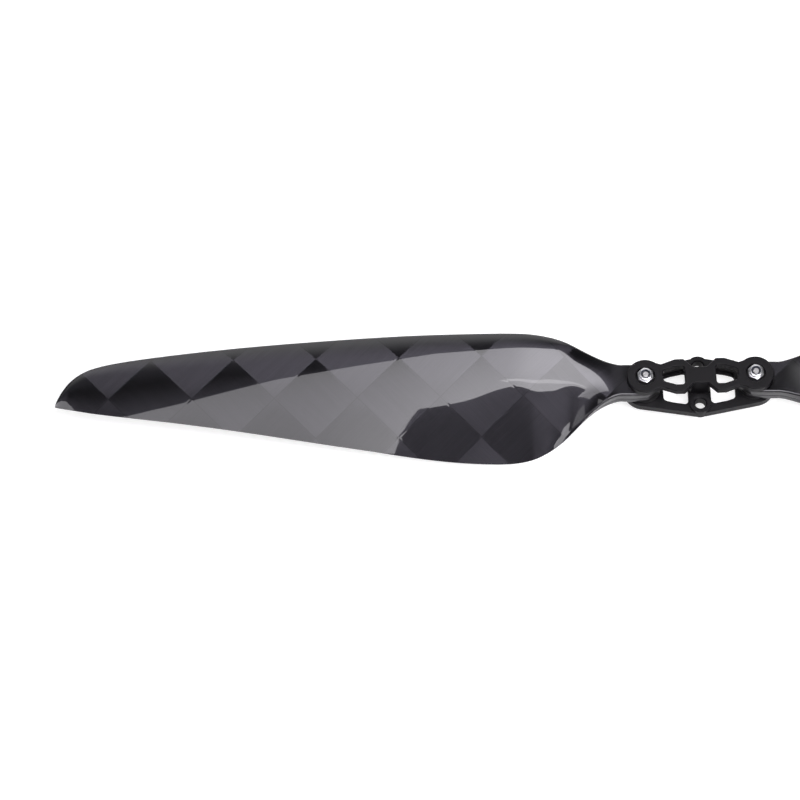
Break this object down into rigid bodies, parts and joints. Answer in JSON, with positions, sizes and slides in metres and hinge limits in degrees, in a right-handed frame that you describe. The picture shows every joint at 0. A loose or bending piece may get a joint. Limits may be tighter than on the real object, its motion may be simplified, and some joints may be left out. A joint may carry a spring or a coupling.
{
  "type": "folding propeller",
  "caption": "Folding carbon propeller with slim tapered blades pinned in the forks of a milled, windowed hub bar, for a multirotor drone motor.",
  "frame": {"origin": "centre of the hub's flat motor face, on the spin axis", "axes": "+Z along the spin axis in the direction of thrust, +X along the two open blades towards the right-hand one, +Y across the hub; seen from +Z the propeller turns clockwise, so the left blade leads with its +Y edge"},
  "size_m": [0.6076, 0.0688, 0.0243],
  "materials": {
    "black_anodised": "fine-blasted black anodised",
    "screw_steel": "bright zinc plated",
    "zinc_steel": "bright zinc plated",
    "nylon": "dark nylon",
    "sleeve_steel": "ground",
    "washer_plastic": "black low-friction plastic",
    "carbon_clear_coat": "spread-tow carbon under gloss clear coat",
    "moulded_root": "moulded carbon-filled resin",
    "rigid_foam": "closed-cell foam"
  },
  "bodies": {
    "hub": {"hub_frame": "black_anodised", "left_pivot_screw": "screw_steel", "left_lock_nut": "zinc_steel", "left_nut_insert": "nylon", "left_pivot_sleeve": "sleeve_steel", "left_lower_friction_washer": "washer_plastic", "left_upper_friction_washer": "washer_plastic", "right_pivot_screw": "screw_steel", "right_lock_nut": "zinc_steel", "right_nut_insert": "nylon", "right_pivot_sleeve": "sleeve_steel", "right_lower_friction_washer": "washer_plastic", "right_upper_friction_washer": "washer_plastic"},
    "left_blade": {"left_blade_upper_skin": "carbon_clear_coat", "left_blade_lower_skin": "carbon_clear_coat", "left_blade_root_block": "moulded_root", "left_blade_foam_core": "rigid_foam", "left_blade_bush": "sleeve_steel"},
    "right_blade": {"right_blade_upper_skin": "carbon_clear_coat", "right_blade_lower_skin": "carbon_clear_coat", "right_blade_root_block": "moulded_root", "right_blade_foam_core": "rigid_foam", "right_blade_bush": "sleeve_steel"}
  },
  "joints": [
    {"name": "left_blade_fold", "type": "hinge", "parent": "hub", "child": "left_blade", "pos_m": [-0.026, 0, 0.0084], "axis": [0, 0, 1], "range_deg": [-90, 90]},
    {"name": "right_blade_fold", "type": "hinge", "parent": "hub", "child": "right_blade", "pos_m": [0.026, 0, 0.0084], "axis": [0, 0, 1], "range_deg": [-90, 90]}
  ]
}
